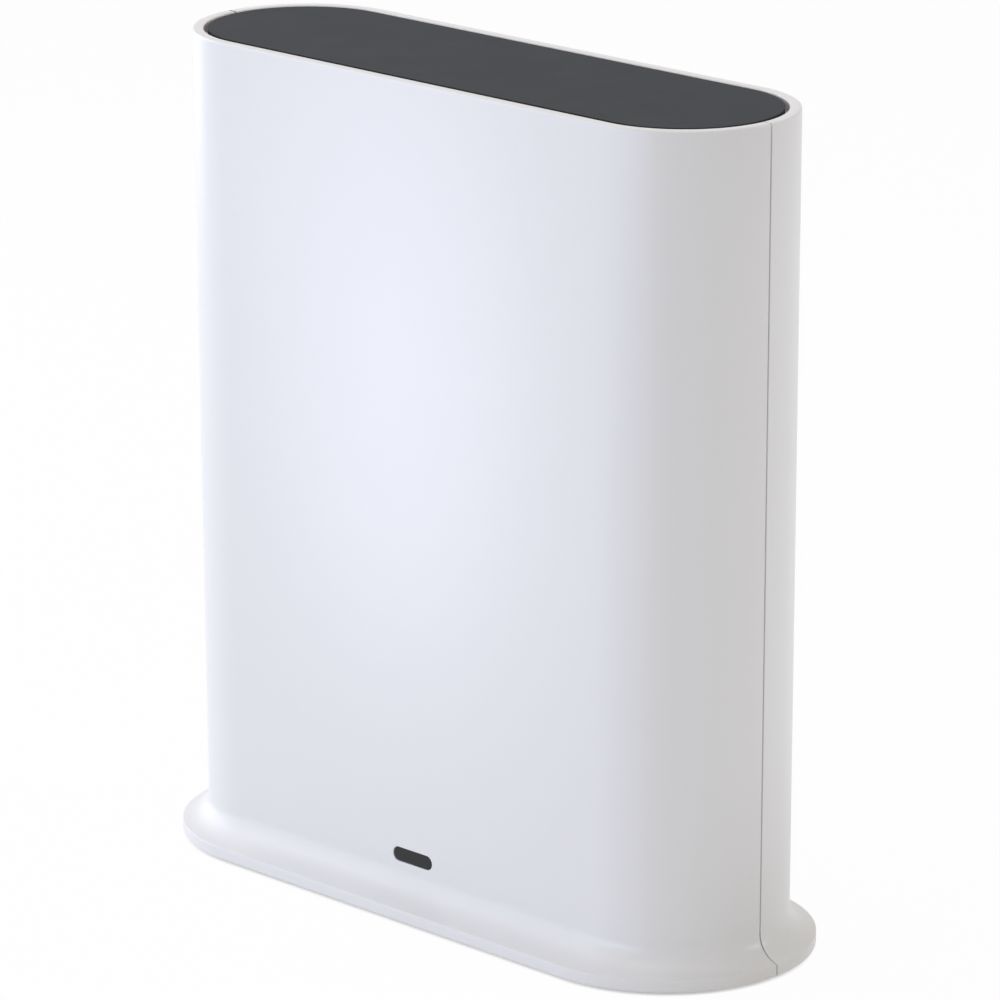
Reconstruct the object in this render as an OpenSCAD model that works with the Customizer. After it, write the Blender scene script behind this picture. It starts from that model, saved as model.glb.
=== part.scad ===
// Base station for security cameras: a slim white tower on a flared foot, with a dark panel let into its top.
// The front faces -Y, the ports face +Y, and Z = 0 is the table under the rubber feet. Sizes are millimetres.

/* [Body] */
// Width of the upright body across its round ends
body_w = 149; // [140:1:165]
// Depth of the upright body
body_d = 45; // [42:0.5:52]
// Height of the shells from the edge of the foot to the rim
shell_h = 170; // [155:1:190]
// Thickness of the shell walls
wall = 2.25; // [1.8:0.05:3]
// Width of the seam between the two shells
seam_gap = 0.2; // [0.1:0.05:0.4]
// How far the rear shell's lip reaches into the front shell
lip_reach = 1.6; // [1:0.1:3]
// Clearance around the lip
lip_gap = 0.15; // [0.1:0.05:0.3]

/* [Foot] */
// How far the foot stands out at the round ends
foot_out_end = 4; // [2:0.25:7]
// How far the foot stands out at the front and the back
foot_out_side = 7.5; // [4:0.25:10]
// Height of the foot's upright edge
foot_edge_h = 2.4; // [2.2:0.1:4]
// Height of the curve from the foot's edge to the wall
flare_h = 5.2; // [4:0.1:6]
// Width of the foot's rim around the base plate
foot_rim = 1.6; // [1.2:0.1:2.5]

/* [Top panel] */
// Thickness of the top panel
panel_t = 2; // [1.5:0.1:3]
// How far the panel lies below the rim
panel_recess = 0.1; // [0:0.05:0.5]
// Gap between the panel and the rim
panel_gap = 0.5; // [0.3:0.05:0.7]
// Width of the ledge that carries the panel
ledge_w = 1.4; // [1:0.1:2]
// Thickness of that ledge
ledge_t = 1.5; // [1:0.1:3]
// Width of a snap leg under the panel
leg_w = 9; // [6:0.5:12]
// Thickness of a snap leg
leg_t = 1.2; // [0.8:0.1:2]
// Distance of the snap legs from the middle of the panel
leg_x = 34; // [20:1:44]
// Clearance of a snap leg at the ledge
leg_gap = 0.2; // [0.1:0.05:0.4]
// Reach of the hook on a snap leg
hook_reach = 0.8; // [0.5:0.1:1.1]
// Height of that hook
hook_h = 1.6; // [1:0.1:3]

/* [Base plate] */
// Thickness of the base plate
base_t = 1.6; // [1.4:0.1:1.8]
// Gap between the base plate and the foot's rim
base_gap = 0.25; // [0.15:0.05:0.5]
// How far the rubber feet hold the shells off the table
foot_lift = 0.8; // [0.5:0.1:2]
// Diameter of a rubber foot
pad_d = 11; // [8:0.5:14]
// Depth of the seat of a rubber foot
pad_seat = 0.8; // [0.5:0.1:1]
// Distance of the rubber feet from the ends of the foot
pad_in_x = 23; // [20:1:26]
// Distance of the rubber feet from the sides of the foot
pad_in_y = 14; // [12:1:16]
// Number of vent slots in the base plate
base_vents = 9; // [5:1:10]
// Length of a vent slot in the base plate
base_vent_l = 18; // [10:1:20]

/* [Light window] */
// Length of the light window
window_l = 11; // [8:0.5:14]
// Height of the light window
window_h = 3; // [2.4:0.1:4]
// Height of the window's middle above the edge of the foot
window_z = 10.5; // [10:0.5:14]
// Clearance of the window in the shell
window_gap = 0.08; // [0.05:0.01:0.2]
// Width of the window's flange behind the wall
window_flange = 1.2; // [0.8:0.1:1.5]
// Thickness of that flange
window_flange_t = 1; // [0.6:0.1:2]
// Width of the light pipe
pipe_w = 8; // [5:0.5:10]
// Height of the light pipe
pipe_h = 2; // [1.5:0.1:2.6]
// Gap between the light pipe and the LED
pipe_gap = 0.3; // [0.1:0.05:0.6]

/* [Main board] */
// Width of the main board
board_w = 112; // [108:1:120]
// Height of the main board
board_h = 118; // [114:1:135]
// Thickness of the main board
board_t = 1.6; // [1:0.1:2]
// How far the board reaches below the LED
board_below = 4.5; // [4:0.1:5.2]
// Distance of the board's screws from its edges
board_screw_in = 5; // [4.5:0.5:6]
// Diameter of the posts that carry the board
post_d = 6; // [5:0.5:8]
// Diameter of the clearance holes in the board
board_hole_d = 2.8; // [2.6:0.1:3]

/* [Heat path and chips] */
// Width and height of the processor
cpu_w = 15; // [10:0.5:20]
// Thickness of the processor
cpu_t = 1.4; // [0.8:0.1:2]
// Thickness of the thermal pad
thermal_t = 0.8; // [0.5:0.1:1.5]
// Width and height of the heat sink
sink_w = 44; // [36:1:48]
// Thickness of the heat sink's base
sink_t = 2.5; // [1.5:0.1:4]
// Height of the heat sink's fins
fin_h = 9; // [4:0.5:10]
// Thickness of a fin
fin_t = 1.2; // [0.8:0.1:2]
// Number of fins
fin_count = 9; // [5:1:11]
// Height of the processor's middle above the board's lower edge
cpu_z = 62; // [56:1:66]
// Width of a shield can
can_w = 22; // [18:0.5:24]
// Height of a shield can
can_h = 26; // [20:0.5:28]
// Depth of a shield can
can_depth = 3; // [2:0.1:4]
// Thickness of the shield's sheet
can_t = 0.3; // [0.2:0.05:0.5]
// Gap between a shield can's lid and its frame
can_gap = 0.05; // [0.03:0.01:0.1]
// Gap kept between neighbouring parts on the board
part_gap = 3; // [2:0.5:3.5]
// Width of a memory chip
memory_w = 9; // [7:0.5:11]
// Height of a memory chip
memory_h = 13; // [10:0.5:14]
// Thickness of the memory chips
memory_t = 1.1; // [0.8:0.1:1.4]
// Width of the stamped antennas
antenna_w = 24; // [16:1:30]
// Height of the stamped antennas
antenna_h = 6; // [4:0.5:8]
// Stand-off of the stamped antennas from the board
antenna_off = 6; // [3:0.5:9]
// Thickness of the antenna's sheet
antenna_t = 0.4; // [0.3:0.1:0.6]

/* [Ports] */
// How far the connectors stand up from the board
connector_len = 17; // [16:0.5:18]
// How far the connectors lie below the rear face
port_recess = 0.5; // [0.2:0.1:1]
// Height of the row of ports above the edge of the foot
port_z = 31; // [28:0.5:34]
// Clearance around a connector in the rear shell
port_gap = 0.4; // [0.3:0.05:0.6]
// Place of the network jack along the row
lan_x = 14; // [12:0.5:16]
// Width of the network jack
lan_w = 16; // [15.5:0.1:17]
// Height of the network jack
lan_h = 14; // [13.5:0.1:15]
// Width of the space for the network plug
lan_plug_w = 11.9; // [11.7:0.1:12.2]
// Thickness of the network jack's roof
lan_roof_t = 1; // [0.8:0.1:1.2]
// Height of the space for the network plug
lan_plug_h = 8.4; // [8.2:0.1:8.8]
// Depth of the space for the network plug
lan_plug_l = 13; // [12:0.5:14]
// Place of the USB socket along the row
usb_x = -10; // [-12:0.5:-8]
// Width of the USB socket
usb_w = 13.1; // [13:0.1:13.5]
// Height of the USB socket
usb_h = 5.7; // [5.6:0.1:6.2]
// Thickness of the USB socket's sheet
usb_t = 0.4; // [0.3:0.05:0.5]
// Depth of the USB socket's open space
usb_depth = 9; // [8:0.5:11]
// Place of the power jack along the row
dc_x = 38; // [36:0.5:40]
// Width of the power jack
dc_w = 9; // [8.6:0.1:10]
// Height of the power jack
dc_h = 11; // [9:0.5:12]
// Diameter of the power jack's bore
dc_bore_d = 6.4; // [5.8:0.1:6.8]
// Diameter of the power jack's centre pin
dc_pin_d = 2; // [1.6:0.1:2.5]
// Depth of the power jack's bore
dc_depth = 11; // [9:0.5:12]

/* [Buttons] */
// Place of the sync button along the row of ports
sync_x = -42; // [-44:0.5:-40]
// Diameter of the sync button
sync_d = 9; // [7:0.5:11]
// How far the sync button stands proud of the rear face
sync_proud = 0.8; // [0.5:0.1:1.2]
// Clearance around the sync button
button_gap = 0.3; // [0.2:0.05:0.5]
// Width of the flange that keeps the button in
button_flange = 1.4; // [1:0.1:2]
// Thickness of that flange
button_flange_t = 1.2; // [0.8:0.1:2]
// Diameter of the button's stem
stem_d = 3.2; // [2.4:0.1:4]
// Place of the reset pinhole along the row of ports
reset_x = -27; // [-29:0.5:-25]
// Diameter of the reset pinhole
pinhole_d = 1.8; // [1.2:0.1:2.4]
// Gap between the reset plunger and the wall
reset_gap = 1.2; // [0.8:0.1:2]
// Width of a switch body
switch_w = 6; // [5.5:0.1:7]
// Height of a switch body
switch_h = 3.5; // [3:0.1:4.5]
// Diameter of a switch plunger
plunger_d = 3.4; // [2.6:0.1:4]
// Running clearance of a plunger in its switch
plunger_gap = 0.08; // [0.05:0.01:0.1]
// Depth of the plunger's bore in a switch
plunger_seat = 2; // [1.5:0.1:2.5]
// How far the sync plunger stands out of its switch
sync_plunger_out = 2; // [1.5:0.1:3]
// Room for travel under a plunger
plunger_room = 0.7; // [0.6:0.05:0.9]

/* [Vents] */
// Number of vent slots in the rear shell
rear_vents = 15; // [7:2:17]
// Width of a vent slot
vent_w = 1.8; // [1:0.1:2.4]
// Height of a vent slot in the rear shell
rear_vent_h = 14; // [8:1:20]
// Spacing of the vent slots
vent_pitch = 4.4; // [4:0.1:4.6]
// Depth of the rear vents below the rim
rear_vent_drop = 26; // [22:1:34]

/* [Fasteners] */
// Diameter of the screws' shanks
screw_d = 2.2; // [1.8:0.1:2.3]
// Diameter of the screws' heads
head_d = 4.6; // [4:0.1:5]
// Height of the screws' heads
head_h = 1.3; // [1:0.1:1.5]
// Length of the screws' shanks
screw_l = 8; // [6:0.5:9]
// Clearance of a shank in its pilot hole
pilot_gap = 0.05; // [0.03:0.01:0.08]
// Wall around a pilot hole in the shells
boss_wall = 2.1; // [1.6:0.1:3]
// Distance of the base screws from the middle
base_screw_x = 38; // [34:1:42]
// Height of the base plate's bosses
plate_boss_h = 1.6; // [1.4:0.1:2]
// Wall around a screw head in the base plate
plate_boss_wall = 1.4; // [1:0.1:2]

/* [Hidden] */
$fn = 64;

// Extra length of a cut past the face that it opens
over = 1;
// Depth to which a rib or boss runs into the wall that carries it
root = 0.6;
// Steps of the foot's curve, and steps round each quarter of its ends
flare_steps = 9;
end_steps = 12;
// Angle that the foot's curve sweeps from the wall to the edge
flare_sweep = 76;
// How far the foot's curve starts inside the wall, so that the two join on one flat face
flare_tuck = 0.1;

inner_w = body_w - 2 * wall;
inner_d = body_d - 2 * wall;
foot_w = body_w + 2 * foot_out_end;
foot_d = body_d + 2 * foot_out_side;
rear_face = body_d / 2;
rear_inner = inner_d / 2;
shell_z0 = foot_lift;
shell_top = foot_lift + shell_h;
edge_top = shell_z0 + foot_edge_h;
flare_top = edge_top + flare_h;
base_top = shell_z0 + base_t;
boss_z0 = base_top + plate_boss_h;

panel_top = shell_top - panel_recess;
panel_z0 = panel_top - panel_t;
ledge_z0 = panel_z0 - ledge_t;
leg_face = rear_inner - ledge_w - leg_gap;

plate_boss_d = head_d + 2 * plate_boss_wall;
boss_d = screw_d + 2 * boss_wall;
pilot_d = screw_d + 2 * pilot_gap;
boss_y = rear_inner - plate_boss_d / 2 - base_gap;
boss_l = screw_l + boss_wall;

window_axis = shell_z0 + window_z;
window_back = -rear_inner + window_flange_t;
board_z0 = window_axis - board_below;
board_rear = rear_face - port_recess - connector_len;
board_front = board_rear - board_t;
led_t = 1.2;
led_w = 3.2;
led_h = 1.6;

port_axis = shell_z0 + port_z;
lan_face = rear_face - port_recess;
dc_face = rear_inner - button_gap;
switch_top = board_rear + switch_h;
plunger_z0 = switch_top - plunger_seat + plunger_room;
sync_plunger_top = switch_top + sync_plunger_out;
reset_plunger_top = rear_inner - reset_gap;

cpu_axis = board_z0 + cpu_z;
cpu_face = board_front - cpu_t;
sink_back = cpu_face - thermal_t;
sink_front = sink_back - sink_t;
pin_inset = 3.4;
pin_d = 3;
pin_head_d = 5.6;
pin_head_h = 1.2;
pin_barb_d = 4.2;
pin_barb_h = 1.4;
pin_gap = 0.1;
memory_x = sink_w / 2 + part_gap + memory_w / 2;
can_x = -(sink_w / 2 + part_gap + can_w / 2);
can_rows = [-1, 1] * (can_h + part_gap) / 2;
memory_rows = [-1, 1] * (memory_h + part_gap) / 2;
antenna_x = board_w / 2 - 2 * board_screw_in - antenna_w / 2;
antenna_z0 = board_z0 + board_h - antenna_h;

// Plan of a slot with round ends, w long and d wide
module slot_plan(w, d) {
    square([w - d, d], center = true);
    for (side = [-1, 1]) translate([side * (w - d) / 2, 0]) circle(d = d);
}

// Ring between two such plans
module ring_plan(w, d, t) {
    difference() {
        slot_plan(w, d);
        slot_plan(w - 2 * t, d - 2 * t);
    }
}

// Half of the plane that lies on one side (side = 1 is the rear) of the line y = from
module half_plane(side, from) {
    size = 2 * foot_w;
    translate([-size / 2, side > 0 ? from : from - size]) square([size, size]);
}

// Turns a plan drawn in X and Z into a prism along Y from y0 to y1
module along_y(y0, y1) {
    translate([0, y1, 0]) rotate([90, 0, 0]) linear_extrude(height = y1 - y0) children();
}

// Round bar along Y, from y0 to y1
module bar_y(d, y0, y1) {
    translate([0, y0, 0]) rotate([-90, 0, 0]) cylinder(d = d, h = y1 - y0);
}

// Block centred in X and Z, from y0 to y1
module block_y(w, h, y0, y1) {
    translate([-w / 2, y0, -h / 2]) cube([w, y1 - y0, h]);
}

// Runs its children once at each corner of a rectangle in plan
module at_corners(x, y) {
    for (side = [-1, 1], end = [-1, 1]) translate([end * x, side * y, 0]) children();
}

// Runs its children at each of the board's four screws, on its own axis along Y
module at_board_screws() {
    for (end = [-1, 1], z = [board_screw_in, board_h - board_screw_in])
        translate([end * (board_w / 2 - board_screw_in), 0, board_z0 + z]) children();
}

// Runs its children at the heat sink's two pins
module at_sink_pins() {
    for (end = [-1, 1]) translate([end, 0, end] * (sink_w / 2 - pin_inset) + [0, 0, cpu_axis]) children();
}

// Half outline of a slot-shaped section, from its +X end by way of the front or rear to its -X end
function half_section(w, d, side, y0) = [
    for (end = [1, -1], i = [0 : end_steps])
        let (turn = end > 0 ? i : end_steps - i, a = 90 * turn / end_steps)
        [end * ((w - d) / 2 + d / 2 * cos(a)), side * max(d / 2 * sin(a), y0)]
];

// Levels of the foot from its edge upwards: each is a height and a share of the outset
flare_levels = concat(
    [[shell_z0, 1]],
    [for (i = [0 : flare_steps])
        let (a = flare_sweep * (1 - i / flare_steps))
        [flare_top - flare_h * sin(a) / sin(flare_sweep), (1 - cos(a)) / (1 - cos(flare_sweep))]]
);

// Solid half of the flared foot, on one side of the seam
module foot_half(side) {
    sections = [
        for (level = flare_levels)
            let (grow = level[1], tuck = flare_tuck * (1 - grow))
            [for (p = half_section(
                body_w + 2 * foot_out_end * grow - 2 * tuck,
                body_d + 2 * foot_out_side * grow - 2 * tuck,
                side, seam_gap / 2)) [p[0], p[1], level[0]]]
    ];
    n = len(sections[0]);
    rows = len(sections);
    points = [for (section = sections) each section];
    walls = [
        for (row = [0 : rows - 2], i = [0 : n - 1])
            let (j = (i + 1) % n)
            [row * n + i, row * n + j, (row + 1) * n + j, (row + 1) * n + i]
    ];
    floor_face = [for (i = [n - 1 : -1 : 0]) i];
    roof_face = [for (i = [0 : n - 1]) (rows - 1) * n + i];
    faces = concat([floor_face, roof_face], walls);
    turned = [for (f = faces) [for (i = [len(f) - 1 : -1 : 0]) f[i]]];
    polyhedron(points = points, faces = side < 0 ? faces : turned);
}

// Foot of one shell, hollowed for the inside and for the base plate
module foot_shell(side) {
    difference() {
        foot_half(side);
        translate([0, 0, shell_z0 - over])
            linear_extrude(height = shell_h) slot_plan(inner_w, inner_d);
        translate([0, 0, shell_z0 - over])
            linear_extrude(height = base_t + over) slot_plan(foot_w - 2 * foot_rim, foot_d - 2 * foot_rim);
    }
}

// Upright wall of one shell; the rear one has a lip that the front one is cut back for
module wall_plan(side) {
    lip_t = wall / 2;
    lip_out = lip_t - lip_gap;
    if (side > 0)
        difference() {
            intersection() {
                ring_plan(body_w, body_d, wall);
                half_plane(1, -lip_reach);
            }
            difference() {
                half_plane(-1, seam_gap / 2);
                slot_plan(inner_w + 2 * lip_out, inner_d + 2 * lip_out);
            }
        }
    else
        difference() {
            intersection() {
                ring_plan(body_w, body_d, wall);
                half_plane(-1, -seam_gap / 2);
            }
            intersection() {
                slot_plan(inner_w + 2 * lip_t, inner_d + 2 * lip_t);
                half_plane(1, -lip_reach - lip_gap);
            }
        }
}

// Ledge under the top panel, on one side of the seam
module ledge(side) {
    translate([0, 0, ledge_z0]) linear_extrude(height = ledge_t) intersection() {
        ring_plan(inner_w + 2 * root, inner_d + 2 * root, ledge_w + root);
        half_plane(side, side * (lip_reach + root));
    }
}

// Bosses for the base screws, each tied to the wall by a web
module base_bosses(side) {
    for (end = [-1, 1]) translate([end * base_screw_x, side * boss_y, boss_z0]) {
        cylinder(d = boss_d, h = boss_l);
        web_l = rear_inner - boss_y + root;
        translate([-boss_wall / 2, side > 0 ? 0 : -web_l, 0]) cube([boss_wall, web_l, boss_l]);
    }
}

module base_pilots(side) {
    for (end = [-1, 1]) translate([end * base_screw_x, side * boss_y, boss_z0 - over])
        cylinder(d = pilot_d, h = screw_l + over);
}

// One shell half before its own openings are cut
module shell_half(side) {
    foot_shell(side);
    translate([0, 0, flare_top]) linear_extrude(height = shell_top - flare_top) wall_plan(side);
    ledge(side);
    base_bosses(side);
}

module front_shell() {
    color("#E9EAEE") difference() {
        shell_half(-1);
        base_pilots(-1);
        translate([0, 0, window_axis])
            along_y(-rear_face - over, -rear_inner + over) slot_plan(window_l, window_h);
    }
}

module rear_shell() {
    color("#E4E5E8") difference() {
        union() {
            shell_half(1);
            at_board_screws() bar_y(post_d, board_rear, rear_inner + root);
        }
        base_pilots(1);
        at_board_screws() bar_y(pilot_d, board_rear - over, board_rear + screw_l);
        port_openings();
        rear_vent_slots();
    }
}

// Openings in the rear wall for the connectors, the button and the reset pin
module port_openings() {
    y0 = rear_inner - over;
    y1 = rear_face + over;
    translate([lan_x, 0, port_axis]) block_y(lan_w + 2 * port_gap, lan_h + 2 * port_gap, y0, y1);
    translate([usb_x, 0, port_axis]) block_y(usb_w + 2 * port_gap, usb_h + 2 * port_gap, y0, y1);
    translate([dc_x, 0, port_axis]) bar_y(dc_bore_d + 2 * port_gap, y0, y1);
    translate([sync_x, 0, port_axis]) bar_y(sync_d + 2 * button_gap, y0, y1);
    translate([reset_x, 0, port_axis]) bar_y(pinhole_d, y0, y1);
}

module rear_vent_slots() {
    for (i = [0 : rear_vents - 1])
        translate([(i - (rear_vents - 1) / 2) * vent_pitch, 0, shell_top - rear_vent_drop])
            block_y(vent_w, rear_vent_h, rear_inner - over, rear_face + over);
}

// Dark panel with four snap legs that hook under the ledge
module top_panel() {
    panel_w = inner_w - 2 * panel_gap;
    panel_d = inner_d - 2 * panel_gap;
    leg_h = ledge_t + leg_gap + hook_h;
    color("#4E5054") {
        translate([0, 0, panel_z0]) linear_extrude(height = panel_t) slot_plan(panel_w, panel_d);
        at_legs() translate([-leg_w / 2, leg_face - leg_t, panel_z0 - leg_h]) {
            cube([leg_w, leg_t, leg_h + root]);
            cube([leg_w, leg_t + leg_gap + hook_reach, hook_h]);
        }
    }
}

// Runs its children at the snap legs, with +Y towards the wall
module at_legs() {
    for (side = [0, 180], end = [-1, 1]) rotate([0, 0, side]) translate([end * leg_x, 0, 0]) children();
}

// Plate that closes the underside
module base_plate() {
    plate_w = foot_w - 2 * (foot_rim + base_gap);
    plate_d = foot_d - 2 * (foot_rim + base_gap);
    color("#C9CACD") difference() {
        union() {
            translate([0, 0, shell_z0]) linear_extrude(height = base_t) slot_plan(plate_w, plate_d);
            at_corners(base_screw_x, boss_y) translate([0, 0, shell_z0])
                cylinder(d = plate_boss_d, h = base_t + plate_boss_h);
        }
        at_corners(base_screw_x, boss_y) translate([0, 0, shell_z0 - over]) {
            cylinder(d = screw_d + 4 * pilot_gap, h = base_t + plate_boss_h + 2 * over);
            cylinder(d = head_d + 4 * pilot_gap, h = head_h + over);
        }
        at_pads() translate([0, 0, shell_z0 - over]) cylinder(d = pad_d, h = pad_seat + over);
        for (i = [0 : base_vents - 1])
            translate([(i - (base_vents - 1) / 2) * vent_pitch - vent_w / 2, -base_vent_l / 2, shell_z0 - over])
                cube([vent_w, base_vent_l, base_t + 2 * over]);
    }
}

// Runs its children at the four rubber feet
module at_pads() {
    at_corners(foot_w / 2 - pad_in_x, foot_d / 2 - pad_in_y) children();
}

module rubber_feet() {
    color("#2B2C2E") at_pads() cylinder(d = pad_d - 2 * pilot_gap, h = foot_lift + pad_seat);
}

// Pan-head screw along +Z, with its head below z = 0
module screw() {
    translate([0, 0, -head_h]) cylinder(d = head_d, h = head_h);
    cylinder(d = screw_d, h = screw_l);
}

module base_screws() {
    color("silver") at_corners(base_screw_x, boss_y) translate([0, 0, shell_z0 + head_h]) screw();
}

module board_screws() {
    color("silver") at_board_screws() translate([0, board_front, 0]) rotate([-90, 0, 0]) screw();
}

// Smoked window, flush with the front face, with a flange behind the wall
module light_window() {
    color("#3C3D41") translate([0, 0, window_axis]) {
        along_y(-rear_face + window_gap, -rear_inner)
            slot_plan(window_l - 2 * window_gap, window_h - 2 * window_gap);
        along_y(-rear_inner, window_back)
            slot_plan(window_l + 2 * window_flange, window_h + 2 * window_flange);
    }
}

module light_pipe() {
    color("#DFE9EE", 0.6) translate([0, 0, window_axis])
        block_y(pipe_w, pipe_h, window_back, board_front - led_t - pipe_gap);
}

module status_led() {
    color("#F2F0DC") translate([0, 0, window_axis]) block_y(led_w, led_h, board_front - led_t, board_front);
}

module main_board() {
    color("#1F5B3A") difference() {
        translate([-board_w / 2, board_front, board_z0]) cube([board_w, board_t, board_h]);
        at_board_screws() bar_y(board_hole_d, board_front - over, board_rear + over);
        at_sink_pins() bar_y(pin_d + 2 * pin_gap, board_front - over, board_rear + over);
    }
}

module processor() {
    color("#2A2A2C") translate([0, 0, cpu_axis]) block_y(cpu_w, cpu_w, cpu_face, board_front);
}

module thermal_pad() {
    color("#8FA3B8") translate([0, 0, cpu_axis]) block_y(cpu_w, cpu_w, sink_back, cpu_face);
}

// Finned plate in front of the processor; the corner fins are cut back for the pins
module heat_sink() {
    fin_pitch = (sink_w - fin_t) / (fin_count - 1);
    color("#B9BCC1") difference() {
        translate([0, 0, cpu_axis]) {
            block_y(sink_w, sink_w, sink_front, sink_back);
            for (i = [0 : fin_count - 1])
                translate([(i - (fin_count - 1) / 2) * fin_pitch, 0, 0])
                    block_y(fin_t, sink_w, sink_front - fin_h, sink_front + root);
        }
        at_sink_pins() {
            bar_y(pin_d + 2 * pin_gap, sink_front - over, sink_back + over);
            block_y(2 * pin_inset + over, 2 * pin_inset + over, sink_front - fin_h - over, sink_front);
        }
    }
}

module heat_sink_pins() {
    color("#E8E6DE") at_sink_pins() {
        bar_y(pin_head_d, sink_front - pin_head_h, sink_front);
        bar_y(pin_d, sink_front - root, board_rear + root);
        bar_y(pin_barb_d, board_rear, board_rear + pin_barb_h);
    }
}

module memory_chips() {
    color("#2A2A2C") for (z = memory_rows)
        translate([memory_x, 0, cpu_axis + z]) block_y(memory_w, memory_h, board_front - memory_t, board_front);
}

module flash_chip() {
    flash_w = 8;
    flash_h = 6;
    z = memory_rows[1] + memory_h / 2 + part_gap + flash_h / 2;
    color("#2A2A2C") translate([memory_x, 0, cpu_axis + z])
        block_y(flash_w, flash_h, board_front - memory_t, board_front);
}

module crystal() {
    crystal_w = 5;
    crystal_h = 3.2;
    z = memory_rows[0] - memory_h / 2 - part_gap - crystal_h / 2;
    color("#C8C9CC") translate([memory_x, 0, cpu_axis + z])
        block_y(crystal_w, crystal_h, board_front - memory_t, board_front);
}

module radio_chips() {
    radio_w = 8;
    radio_t = 0.9;
    color("#2A2A2C") for (z = can_rows)
        translate([can_x, 0, cpu_axis + z]) block_y(radio_w, radio_w, board_front - radio_t, board_front);
}

// Walls of the shield cans, soldered to the board
module shield_frames() {
    frame_w = can_w - 2 * (can_t + can_gap);
    frame_h = can_h - 2 * (can_t + can_gap);
    y0 = board_front - can_depth + can_t + can_gap;
    color("#C4C7CA") for (z = can_rows) translate([can_x, 0, cpu_axis + z]) difference() {
        block_y(frame_w, frame_h, y0, board_front);
        block_y(frame_w - 2 * can_t, frame_h - 2 * can_t, y0 - over, board_front + over);
    }
}

// Lids that snap over those walls
module shield_lids() {
    y0 = board_front - can_depth;
    skirt = can_depth * 0.6;
    color("#D2D5D8") for (z = can_rows) translate([can_x, 0, cpu_axis + z]) difference() {
        block_y(can_w, can_h, y0, y0 + skirt);
        block_y(can_w - 2 * can_t, can_h - 2 * can_t, y0 + can_t, y0 + skirt + over);
    }
}

// Stamped antenna standing off the board on two legs
module antenna(end) {
    leg = 1.6;
    y0 = board_front - antenna_off;
    color("#D8C27A") translate([end * antenna_x, 0, antenna_z0]) {
        translate([-antenna_w / 2, y0, 0]) cube([antenna_w, antenna_t, antenna_h]);
        for (x = [-antenna_w / 2, -antenna_w / 2 + 3 * leg])
            translate([x, y0, 0]) cube([leg, antenna_off, antenna_t]);
    }
}

module left_antenna() {
    antenna(-1);
}

module right_antenna() {
    antenna(1);
}

// Network jack with a stepped slot for the plug's latch
module lan_jack() {
    latch_w = 6.2;
    latch_h = 1.6;
    plug_z = lan_h / 2 - lan_roof_t - lan_plug_h / 2;
    color("#2F3033") translate([lan_x, 0, port_axis]) difference() {
        block_y(lan_w, lan_h, board_rear, lan_face);
        translate([0, 0, plug_z]) block_y(lan_plug_w, lan_plug_h, lan_face - lan_plug_l, lan_face + over);
        translate([0, 0, plug_z - lan_plug_h / 2])
            block_y(latch_w, 2 * latch_h, lan_face - lan_plug_l, lan_face + over);
    }
}

// Eight spring wires along the roof of the network jack
module lan_contacts() {
    pitch = 1.02;
    wire = 0.45;
    dip = 1.6;
    count = 8;
    back = lan_face - lan_plug_l;
    front = lan_face - lan_plug_l / 3;
    roof = lan_h / 2 - lan_roof_t;
    color("#D9B24A") translate([lan_x, 0, port_axis]) for (i = [0 : count - 1])
        translate([(i - (count - 1) / 2) * pitch - wire / 2, 0, 0]) rotate([90, 0, 90])
            linear_extrude(height = wire)
                polygon([[back, roof], [front, roof - dip], [front, roof - dip - wire], [back, roof - 2 * wire]]);
}

module lan_transformer() {
    coil_w = 13;
    coil_h = 9;
    coil_t = 4;
    z = port_axis + lan_h / 2 + part_gap + coil_h / 2;
    color("#232425") translate([lan_x, 0, z]) block_y(coil_w, coil_h, board_rear, board_rear + coil_t);
}

// Folded steel shell of the USB socket
module usb_shell() {
    color("#BFC3C8") translate([usb_x, 0, port_axis]) difference() {
        block_y(usb_w, usb_h, board_rear, lan_face);
        block_y(usb_w - 2 * usb_t, usb_h - 2 * usb_t, board_rear - over, lan_face + over);
    }
}

usb_fit = 0.05;
tongue_w = 11.1;
tongue_t = 1.9;
tongue_up = 0.9;

// Plastic block in the back of the USB socket, with the tongue that carries the contacts
module usb_tongue() {
    back = lan_face - usb_depth;
    color("#F1F1EE") translate([usb_x, 0, port_axis]) {
        block_y(usb_w - 2 * (usb_t + usb_fit), usb_h - 2 * (usb_t + usb_fit), board_rear, back);
        translate([0, 0, tongue_up]) block_y(tongue_w, tongue_t, back - root, lan_face - root);
    }
}

module usb_contacts() {
    strip = 1;
    strip_t = 0.2;
    pitch = 2.3;
    count = 4;
    back = lan_face - usb_depth;
    z = tongue_up - tongue_t / 2 - strip_t / 2;
    color("#D9B24A") translate([usb_x, 0, port_axis + z]) for (i = [0 : count - 1])
        translate([(i - (count - 1) / 2) * pitch, 0, 0]) block_y(strip, strip_t, back, lan_face - 2 * root);
}

spring_w = 2.4;
spring_t = 0.4;

// Power jack: a block with the bore for the plug and a slot for the spring contact
module dc_jack() {
    color("#26272A") translate([dc_x, 0, port_axis]) difference() {
        block_y(dc_w, dc_h, board_rear, dc_face);
        bar_y(dc_bore_d, dc_face - dc_depth, dc_face + over);
        translate([0, 0, dc_bore_d / 2])
            block_y(spring_w, 2 * spring_t, dc_face - dc_depth, dc_face - over);
    }
}

module dc_pin() {
    color("#D7C089") translate([dc_x, 0, port_axis]) bar_y(dc_pin_d, dc_face - dc_depth, dc_face - over);
}

module dc_spring() {
    color("#D7C089") translate([dc_x, 0, port_axis + dc_bore_d / 2 + spring_t / 2])
        block_y(spring_w, spring_t, dc_face - dc_depth, dc_face - 2 * over);
}

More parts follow.
